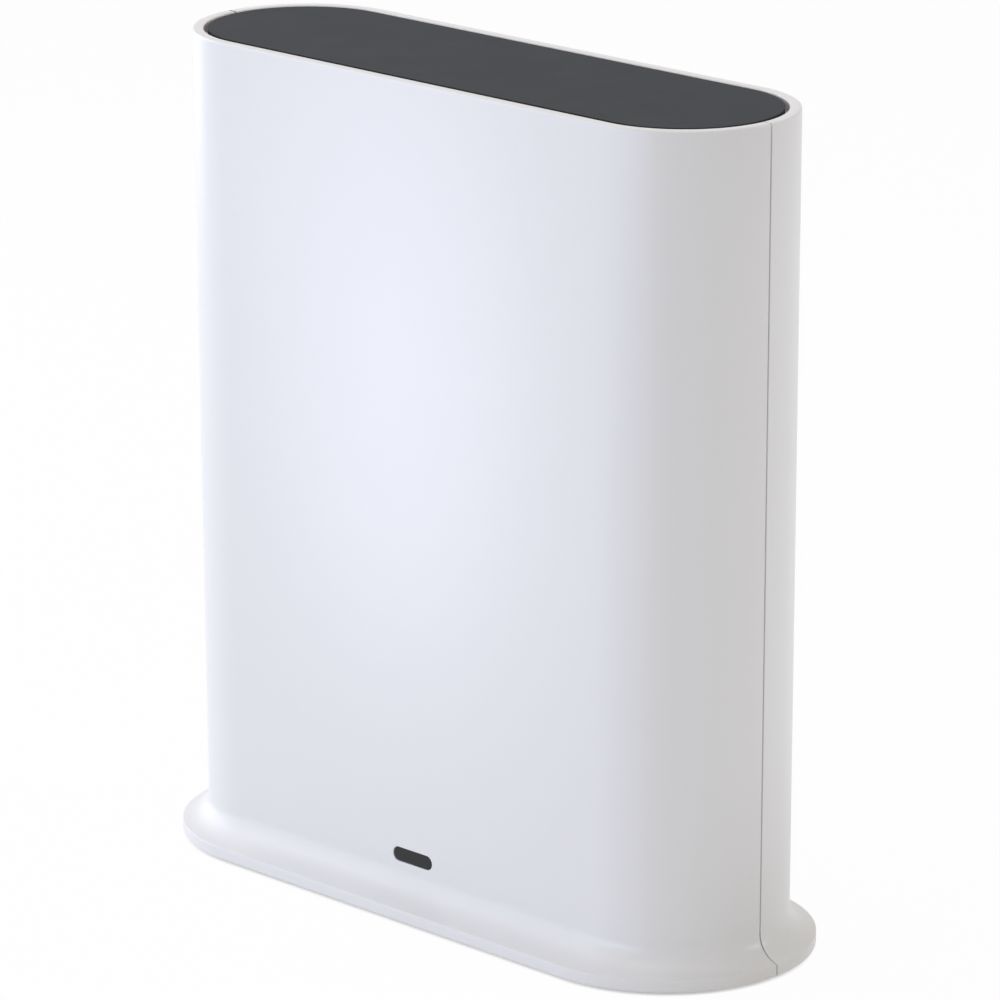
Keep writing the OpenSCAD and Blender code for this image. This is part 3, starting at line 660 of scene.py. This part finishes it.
    def grid(self, rows: dict[str, Array], path: dict[str, Array]) -> Array:
        """Profile carried round the half plan.

        A row's round ends have the radius depth / 2 + side outset - inset and its straight run is half of
        width - depth, changed by the two outsets' difference and, outside, by the lean. A column at a fixed
        distance y from the seam lies sqrt(radius squared - y squared) out from the end's middle, and any
        other at radius cos a and radius sin a.

        Args:
            rows: The profile.
            path: The columns.

        Returns:
            Points as (rows, columns, 3).
        """
        row = {name: values[:, None] for name, values in rows.items()}
        notch = (self.wall / 2 if self.side is Side.FRONT else 0.0) * row["notch"] * path["notch"]
        inset = row["inset"] + row["outer"] * path["tuck"] + self.ledge * row["ledge"] * path["ledge"] - notch
        radius = self.depth / 2 + self.out_side * row["grow"] - inset
        run = (self.width - self.depth) / 2 + (self.out_end - self.out_side) * row["grow"]
        run = run + self.lean(row["z"], row["grow"]) * row["outer"]
        held = ~np.isnan(path["fixed"])
        y = np.where(held, path["fixed"], radius * np.sin(path["angle"]))
        x = path["run"] * run + np.where(held, np.sqrt(radius ** 2 - y ** 2), radius * np.cos(path["angle"]))
        return np.stack(np.broadcast_arrays(path["sign"] * x, self.side.value * y, row["z"]), axis=-1)

    def build(self) -> Patchwork:
        """Carries the profile round and cuts the openings into the two flat faces.

        Returns:
            The cover's patches.
        """
        rows, path = self.profile(), self.half_path()
        grid = self.grid(rows, path)
        flat = grid.shape[1] // 2 - 1
        outside = int(np.argmax(np.isclose(rows["z"], self.flare_top + COLLAR)))
        inside = int(np.argmax(rows["notch"] > 0))
        keep = np.ones((grid.shape[0], grid.shape[1] - 1), bool)
        keep[[outside, inside], flat] = False
        work = Patchwork()
        work.sheet(grid, over=True, keep=keep)
        face, back = grid[[outside, inside], flat, 1]
        for row, level, holes in ((outside, face, tuple(hole.collar() for hole in self.openings)),
                                  (inside, back, tuple(hole.outline(0.0)[0] for hole in self.openings))):
            corners = grid[[row, row + 1, row + 1, row], [flat, flat, flat + 1, flat + 1]]
            work.fill(corners[:, [0, 2]], level, Axis.Y, holes)
        for hole in self.openings:
            work.sheet(hole.wall(face, back), around=True)
        for column in (0, -1):
            loop = grid[:, column]
            fresh = np.abs(loop - np.roll(loop, 1, axis=0)).max(axis=1) > WELD
            work.fill(loop[fresh][:, [0, 2]], loop[0, 1], Axis.Y)
        return work

    def lip(self, work: Patchwork) -> None:
        """Adds the two strips that reach behind the other cover's wall, just clear of this cover's own edge.

        Args:
            work: The cover's patches.
        """
        reach = np.linspace(self.seam / 2 - self.lip_clear, -self.lip_reach, self.lip_steps)
        inset = np.repeat([self.wall / 2 + self.lip_gap, self.wall], self.lip_steps)
        y = np.hstack([reach, reach[::-1]])
        x = (self.width - self.depth) / 2 + np.sqrt((self.depth / 2 - inset) ** 2 - y ** 2)
        for end in (1, -1):
            plan = np.stack([end * x, self.side.value * y], axis=-1)
            work.stack(np.stack([plan, plan]), [self.flare_top, self.lip_top - self.lip_gap], Axis.Z)


@dataclass
class Housing:
    """The two covers of the tower, with the openings that the parts behind them need."""

    port_gap: float = 0.4
    port_corner: float = 0.6
    power_bore: float = 7.2
    button_bore: float = 9.6
    pinhole: float = 1.8
    window_long: float = 11.0
    window_tall: float = 3.0
    window_edge: float = 0.12
    vents: int = 15
    vent_width: float = 1.8
    vent_height: float = 14.0
    vent_pitch: float = 4.4
    vent_drop: float = 26.0

    def window(self) -> Opening:
        """Slot for the status window."""
        sizes = self.window_long, self.window_tall, self.window_tall / 2 - WELD
        return Opening(*middle("light_window"), *sizes, self.window_edge)

    def ports(self) -> tuple[Opening, ...]:
        """Openings for the connectors, the button and the pin.

        Returns:
            One opening for each.
        """
        holes = []
        for node in ("lan_jack", "usb_shell"):
            low, high = span(node)
            size = high - low + 2 * self.port_gap
            holes.append(Opening(*middle(node), *size[[0, 2]], self.port_corner))
        bores = {"dc_jack": self.power_bore, "sync_switch": self.button_bore, "reset_switch": self.pinhole}
        for node, bore in bores.items():
            holes.append(Opening(*middle(node), bore, bore, bore / 2 - WELD))
        return tuple(holes)

    def vent_row(self, top: float) -> tuple[Opening, ...]:
        """Row of upright slots under the rim.

        Args:
            top: Height of the rim.

        Returns:
            One opening for each slot.
        """
        places = (np.arange(self.vents) - (self.vents - 1) / 2) * self.vent_pitch
        sizes = self.vent_width, self.vent_height, self.vent_width / 2 - WELD
        return tuple(Opening(x, top - self.vent_drop, *sizes) for x in places.tolist())

    def build(self) -> None:
        """Makes both covers."""
        front = Cover(Side.FRONT, (self.window(),))
        fit(front.build().piece("front_cover"), WHITE_ABS, "white_shell", "front_shell")
        rear = Cover(Side.REAR, self.ports() + self.vent_row(front.top))
        work = rear.build()
        rear.lip(work)
        fit(work.piece("rear_cover"), REAR_ABS, "white_shell", "rear_shell")


@dataclass
class Lid:
    """Charcoal panel let into the rim."""

    thick: float = Cover.panel
    edge: float = 0.06
    rise: float = 0.06
    slack: float = 0.3

    def build(self) -> None:
        """Stacks slot outlines from the underside, over a rounded edge, to the flat top."""
        low, high = span("top_panel")
        width, depth = (high - low)[:2] - 2 * self.slack
        width += 2 * Cover.lean_top * Cover.rim_follows
        top = high[2] + self.rise
        inside, below = soft_edge(self.edge)
        inset = np.hstack([inside[::-1], inside, self.edge + COLLAR])
        level = np.hstack([high[2] - self.thick + below[::-1], top - below, top])
        plan = rounded(width - 2 * inset, depth - 2 * inset, (depth - 2 * inset) / 2 - WELD)
        work = Patchwork()
        work.stack(plan, level, Axis.Z)
        fit(work.piece("lid_panel"), CHARCOAL_ABS, "dark_panel", "top_panel")


@dataclass
class StatusWindow:
    """Smoked slot-shaped window with a flange behind the wall."""

    gap: float = 0.08
    edge: float = 0.15
    flange: float = 1.2
    flange_thick: float = 1.0

    def build(self) -> None:
        """Stacks slot outlines from the flange to the polished face."""
        low, high = span("light_window")
        long, tall = (high - low)[[0, 2]] - 2 * (self.flange + self.gap)
        inside, below = soft_edge(self.edge)
        shoulder = high[1] - self.flange_thick
        wide = self.flange + self.gap
        grow = np.hstack([wide, wide, 0.0, -inside, -self.edge - COLLAR])
        level = np.hstack([high[1], shoulder, shoulder, low[1] + below, low[1]])
        plan = rounded(long + 2 * grow, tall + 2 * grow, tall / 2 + grow - WELD, middle("light_window"))
        work = Patchwork()
        work.stack(plan, level, Axis.Y)
        fit(work.piece("status_lens"), SMOKED_PC, "smoked_window", "light_window")


@dataclass
class Underside:
    """Rubber feet, base plate and screws."""

    pad: float = 10.9
    pad_edge: float = 0.3
    dish: float = 0.15
    dish_share: float = 0.6
    head: float = 4.6
    head_height: float = 1.3
    head_edge: float = 0.25
    shank: float = 2.2
    recess_long: float = 2.7
    recess_wide: float = 0.75
    recess_deep: float = 0.8

    def spots(self, node: str, across: float) -> list[tuple[float, float]]:
        """Middles of four like pieces that stand in a rectangle.

        Args:
            node: CAD node that holds the four.
            across: Diameter of each.

        Returns:
            Their x and y.
        """
        low, high = span(node)
        half = across / 2
        return [(x, y) for x in (low[0] + half, high[0] - half) for y in (low[1] + half, high[1] - half)]

    def feet(self) -> Patchwork:
        """Turned pads with a rounded lower edge and a shallow dish.

        Returns:
            The pads' patches.
        """
        low, high = span("rubber_feet")
        half = self.pad / 2
        inside, below = soft_edge(self.pad_edge)
        radius = half - np.hstack([0.0, inside, half * (1 - self.dish_share)])
        level = np.hstack([high[2], low[2] + below, low[2] + self.dish])
        work = Patchwork()
        for spot in self.spots("rubber_feet", self.pad):
            work.stack(rings(radius, spot), level, Axis.Z)
        return work

    def screws(self) -> Patchwork:
        """Screws with a shank, a head whose edge is rounded, and a cross-shaped recess in the head.

        One arm of the cross is three corners, and the others are that arm turned by a quarter circle each.

        Returns:
            The screws' patches.
        """
        low, high = span("base_screws")
        inside, below = soft_edge(self.head_edge)
        shank, half = self.shank / 2, self.head / 2
        radius = np.hstack([shank, shank, half, half - inside])
        level = np.hstack([high[2], [low[2] + self.head_height] * 2, low[2] + below])
        long, wide = self.recess_long / 2, self.recess_wide / 2
        arm = np.array([[long, wide], [wide, wide], [wide, long]])
        quarter = np.array([[0.0, 1.0], [-1.0, 0.0]])
        cross = np.concatenate([arm @ np.linalg.matrix_power(quarter, n) for n in range(4)])
        work = Patchwork()
        for spot in self.spots("base_screws", self.head):
            recess = cross + np.array(spot)
            work.stack(rings(radius, spot), level, Axis.Z, (recess,))
            work.pit(recess, low[2], low[2] + self.recess_deep, Axis.Z)
        return work

    def build(self) -> None:
        """Makes the feet and the screws and dresses the plate."""
        fit(self.feet().piece("foot_pads"), RUBBER, "rubber", "rubber_feet")
        fit(self.screws().piece("plate_screws"), ZINC_STEEL, "screw_steel", "base_screws")
        dress(GREY_PS, "base_plate")


@dataclass
class PortRow:
    """Connectors and the button on the back."""

    usb_sheet: float = 0.4
    usb_corner: float = 0.7
    jack_edge: float = 0.3
    jack_corner: float = 0.6
    jack_taper: float = 0.6
    plug: tuple[float, float, float] = (11.9, 8.4, 13.0)
    roof: float = 1.0
    latch: tuple[float, float] = (6.2, 1.6)
    button_edge: float = 0.5
    button_dish: float = 0.25
    dish_reach: float = 0.98
    dish_steps: int = 10
    button_across: float = 9.0
    button_height: float = 3.35
    button_flange: float = 1.2
    stem: float = 3.2
    pin_nose: float = 0.8
    nose_steps: int = 8

    def network_jack(self) -> Patchwork:
        """Block with a stepped socket: the plug's space and, under it, the slot for the plug's latch.

        Returns:
            The jack's patches.
        """
        low, high = span("lan_jack")
        spot = middle("lan_jack")
        width, height = (high - low)[[0, 2]]
        inside, below = soft_edge(self.jack_edge)
        inset = np.hstack([0.0, inside, self.jack_edge + COLLAR])
        level = np.hstack([low[1], high[1] - below, high[1]])
        corner = self.jack_corner - inset * self.jack_taper
        plan = rounded(width - 2 * inset, height - 2 * inset, corner, spot)
        wide, tall, deep = self.plug
        latch, drop = self.latch
        sill = high[2] - self.roof - tall
        x = spot[0] + np.array([-wide, wide, wide, latch, latch, -latch, -latch, -wide]) / 2
        z = sill + np.array([tall, tall, 0.0, 0.0, -drop, -drop, 0.0, 0.0])
        socket = np.stack([x, z], axis=-1)
        work = Patchwork()
        work.stack(plan, level, Axis.Y, (socket,))
        work.pit(socket, high[1], high[1] - deep, Axis.Y)
        return work

    def usb_sleeve(self) -> Patchwork:
        """Folded steel sleeve: a closed loop of rounded outlines, out over the mouth and back inside.

        Returns:
            The sleeve's patches.
        """
        low, high = span("usb_shell")
        width, height = (high - low)[[0, 2]]
        inside, below = soft_edge(self.usb_sheet / 2)
        inset = np.hstack([0.0, inside, (self.usb_sheet - inside)[::-1], self.usb_sheet])
        level = np.hstack([low[1], high[1] - below, (high[1] - below)[::-1], low[1]])
        plan = rounded(width - 2 * inset, height - 2 * inset, self.usb_corner - inset, middle("usb_shell"))
        work = Patchwork()
        work.sheet(lift(plan, level[:, None], Axis.Y), around=True, over=True)
        return work

    def power_pin(self) -> Patchwork:
        """Turned centre pin with a round nose.

        Returns:
            The pin's patches.
        """
        low, high = span("dc_pin")
        half = (high - low)[0] / 2
        inside, below = soft_edge(half * self.pin_nose, self.nose_steps)
        radius = half - np.hstack([0.0, inside])
        level = np.hstack([low[1], high[1] - below])
        work = Patchwork()
        work.stack(rings(radius, middle("dc_pin")), level, Axis.Y)
        return work

    def button(self) -> Patchwork:
        """Turned button: stem, flange and a cap whose face is dished inside a rounded edge.

        The dish sinks by its depth times 1 - (share of the radius) squared.

        Returns:
            The button's patches.
        """
        low, high = span("sync_button")
        flange = (high - low)[0] / 2
        cap, stem = self.button_across / 2, self.stem / 2
        flange_top = high[1] - self.button_height
        flange_low = flange_top - self.button_flange
        inside, below = soft_edge(self.button_edge)
        dish = np.linspace(self.button_edge, cap * self.dish_reach, self.dish_steps)
        hollow = self.button_dish * (1 - ((cap - dish) / (cap - self.button_edge)) ** 2)
        radius = np.hstack([stem, stem, flange, flange, cap, cap - inside, cap - dish[1:]])
        level = np.hstack([low[1], flange_low, flange_low, flange_top, flange_top,
                           high[1] - below, high[1] - hollow[1:]])
        work = Patchwork()
        work.stack(rings(radius, middle("sync_button")), level, Axis.Y)
        return work

    def build(self) -> None:
        """Makes the pieces whose edges show and dresses the rest."""
        fit(self.network_jack().piece("network_socket"), BLACK_PBT, "connector_black", "lan_jack")
        fit(self.usb_sleeve().piece("usb_sleeve"), TIN_PLATE, "tinned_steel", "usb_shell")
        fit(self.power_pin().piece("power_pin"), GILT_BRASS, "gilt_brass", "dc_pin")
        fit(self.button().piece("sync_cap"), BUTTON_ABS, "button_grey", "sync_button", body="sync_button")
        dress(BLACK_PBT, "dc_jack", "sync_switch", "reset_switch")
        dress(WHITE_PBT, "usb_tongue")
        dress(NYLON, "sync_plunger", "reset_plunger")
        dress(GILT_BRASS, "lan_contacts", "usb_contacts", "dc_spring")


@dataclass
class Electronics:
    """Board, chips, heat sink, antennas and the light path inside the housing."""

    def build(self) -> None:
        """Dresses the CAD nodes, which show through the vents and the window."""
        dress(BOARD, "main_board")
        dress(ZINC_STEEL, "board_screws")
        dress(EPOXY, "processor", "memory_chips", "flash_chip", "radio_chips", "lan_transformer")
        dress(THERMAL_PAD, "thermal_pad")
        dress(ALUMINIUM, "heat_sink")
        dress(NYLON, "heat_sink_pins")
        dress(TIN_PLATE, "shield_frames", "shield_lids", "crystal")
        dress(GILT_BRASS, "left_antenna", "right_antenna")
        dress(SLEEVE, "capacitors")
        dress(FERRITE, "inductors")
        dress(ACRYLIC, "light_pipe")
        dress(LAMP_SILICONE, "status_led")


def direction(azimuth: float, elevation: float) -> Vector:
    """Unit vector away from the tower, by degrees: azimuth 0 is the front and 90 the right end."""
    a, e = np.radians(azimuth), np.radians(elevation)
    return Vector((np.sin(a) * np.cos(e), -np.cos(a) * np.cos(e), np.sin(e)))


@dataclass(frozen=True)
class Softbox:
    """Large soft lamp that faces the tower."""

    name: str
    azimuth: float
    elevation: float
    distance: float
    width: float
    height: float
    watts: float
    tint: str
    aim: tuple[float, float, float] = (0.0, 0.0, 85.0)
    spread: float = 180.0
    glossy: bool = True

    def build(self) -> None:
        """Hangs the lamp round its aim, out of the camera's sight."""
        lamp = bpy.data.lights.new(self.name, "AREA")
        lamp.shape = "RECTANGLE"
        lamp.spread = np.radians(self.spread)
        lamp.size, lamp.size_y = self.width * MM, self.height * MM
        lamp.energy = self.watts
        lamp.color = linear(self.tint)[:3]
        hung = add_object(self.name, lamp)
        away = direction(self.azimuth, self.elevation)
        hung.location = (Vector(self.aim) + away * self.distance) * MM
        hung.rotation_euler = away.to_track_quat("Z", "Y").to_euler()
        hung.visible_camera = False
        hung.visible_glossy = self.glossy
        log.info("%s: %.4f W", self.name, self.watts)


@dataclass
class Studio:
    """Pale table, soft light and the camera of the photograph."""

    azimuth: float = 44.6038
    elevation: float = 16.5367
    roll: float = -0.1927
    distance: float = 1197.6
    focal_pixels: float = 5978.06
    image_pixels: int = 1000
    aim_right: float = 2.06
    aim_height: float = 81.67
    sensor: float = 36.0
    table: float = 8000.0
    table_tone: str = "#F4F4F4"
    # Painted contact shade: within this reach of the tower, ambient occlusion lowers the table's glow towards
    # this shade, and the real shadow on the diffuse paint shows there
    contact: float = 4.0
    contact_open: float = 0.3
    painted_contact_shade: float = 0.2
    contact_samples: int = 8
    fill: float = 0.533
    fill_tone: str = "#FFFBEF"
    glow: float = 0.965
    bounce: float = 0.086
    # Azimuth, elevation, distance, width, height, watts and tint
    lamps: tuple[Softbox, ...] = (
        Softbox("front softbox", -8.0, 4.0, 800.0, 500.0, 500.0, 2.13, "#D0DDFF"),
        Softbox("front left softbox", -40.0, 4.0, 800.0, 500.0, 500.0, 0.64, "#D0DDFF"),
        Softbox("gridded strip", 0.0, 0.0, 300.0, 30.0, 110.0, 0.0054, "#E0E7FF",
                aim=(-2.0, -22.5, 112.0), spread=24.0, glossy=False),
        Softbox("left softbox", -92.0, 6.0, 700.0, 300.0, 600.0, 0.85, "#FFFFFF"),
        Softbox("raised left softbox", -70.0, 22.0, 800.0, 500.0, 500.0, 1.27, "#E4F3FF"),
        Softbox("high left softbox", -92.0, 45.0, 800.0, 500.0, 500.0, 0.82, "#EEEAFF"),
        Softbox("rear right softbox", 129.0, 12.0, 600.0, 300.0, 165.0, 0.0408, "#E3E8FF",
                aim=(0.0, 0.0, 88.0), spread=10.0),
        Softbox("top softbox", 20.0, 85.0, 800.0, 600.0, 600.0, 1.0, "#FDF9FF"),
    )

    def camera(self) -> None:
        """Sets the camera by the angles and the focal length that the photograph's outlines give."""
        lens = bpy.data.cameras.new("camera")
        lens.sensor_width = self.sensor
        lens.lens = self.focal_pixels * self.sensor / self.image_pixels
        seat = add_object("camera", lens)
        back = direction(self.azimuth, self.elevation)
        right = direction(self.azimuth + 90.0, 0.0)
        aim = right * self.aim_right * MM + Vector((0.0, 0.0, self.aim_height * MM))
        turned = Matrix.Rotation(np.radians(self.roll), 3, back)
        axes = Matrix((turned @ right, turned @ back.cross(right), back)).transposed()
        seat.matrix_world = Matrix.Translation(aim + back * self.distance * MM) @ axes.to_4x4()
        bpy.context.scene.camera = seat

    def seen(self, tree: Tree) -> Socket:
        """One for rays of the camera, of gloss and of clear pieces, none for those that light the tower.

        Args:
            tree: Node tree of the table or the world.

        Returns:
            That number.
        """
        path = add_node(tree, "ShaderNodeLightPath").outputs
        gloss = {0: path["Is Glossy Ray"], 1: path["Is Transmission Ray"]}
        either = add_node(tree, "ShaderNodeMath", gloss, operation="MAXIMUM").outputs[0]
        every = {0: path["Is Camera Ray"], 1: either}
        return add_node(tree, "ShaderNodeMath", every, operation="MAXIMUM").outputs[0]

    def backdrop(self) -> None:
        """White surroundings for the eye, with a plain level of light for the tower."""
        world = bpy.data.worlds.new("white room")
        tree = bare_tree(world)
        room = {"Color": linear(self.fill_tone), "Strength": self.fill}
        fill = add_node(tree, "ShaderNodeBackground", room)
        white = add_node(tree, "ShaderNodeBackground", {"Color": linear("#FFFFFF"), "Strength": 1.0})
        mix = {0: self.seen(tree), 1: fill.outputs["Background"], 2: white.outputs["Background"]}
        both = add_node(tree, "ShaderNodeMixShader", mix).outputs["Shader"]
        add_node(tree, "ShaderNodeOutputWorld", {"Surface": both})
        bpy.context.scene.world = world

    def floor(self) -> None:
        """Wide pale table; the eye sees it near white, with a painted contact shade near the tower: ambient
        occlusion lowers its glow there, and the diffuse paint shows its real shadow in its place.
        """
        ends = np.array([-self.table / 2, self.table / 2])
        work = Patchwork()
        work.sheet(lift(np.stack(np.meshgrid(ends, ends), axis=-1), 0.0, Axis.Z))
        table = work.piece("table")
        made = bpy.data.materials.new("painted table")
        tree = bare_tree(made)
        paint = add_node(tree, "ShaderNodeBsdfDiffuse", {"Color": linear(self.table_tone)})
        glow = add_node(tree, "ShaderNodeEmission", {"Color": linear("#FFFFFF"), "Strength": 1.0})
        # Painted contact shade: the glow falls with ambient occlusion near the tower, and the real shadow on
        # the diffuse paint shows in its place
        reach = {"Distance": self.contact * MM}
        near = add_node(tree, "ShaderNodeAmbientOcclusion", reach, samples=self.contact_samples).outputs["AO"]
        sky = {"Value": near, "From Max": self.contact_open,
               "To Min": self.painted_contact_shade, "To Max": self.glow}
        level = add_node(tree, "ShaderNodeMapRange", sky).outputs["Result"]
        eye = {0: self.seen(tree), 1: level}
        shown = add_node(tree, "ShaderNodeMath", eye, operation="MULTIPLY").outputs[0]
        share = add_node(tree, "ShaderNodeMath", {0: shown, 1: self.bounce}, operation="MAXIMUM").outputs[0]
        mix = {0: share, 1: paint.outputs["BSDF"], 2: glow.outputs["Emission"]}
        both = add_node(tree, "ShaderNodeMixShader", mix).outputs["Shader"]
        add_node(tree, "ShaderNodeOutputMaterial", {"Surface": both})
        table.data.materials.append(made)

    def build(self) -> None:
        """Sets up the table, the light and the camera."""
        bpy.context.scene.view_settings.view_transform = "Standard"
        self.floor()
        self.backdrop()
        for lamp in self.lamps:
            lamp.build()
        self.camera()


def main() -> None:
    """Builds each part in order."""
    logging.basicConfig(level=logging.INFO, format="%(message)s")
    for part in (Housing(), Lid(), StatusWindow(), Underside(), PortRow(), Electronics(), Studio()):
        part.build()


if __name__ == "__main__":
    main()
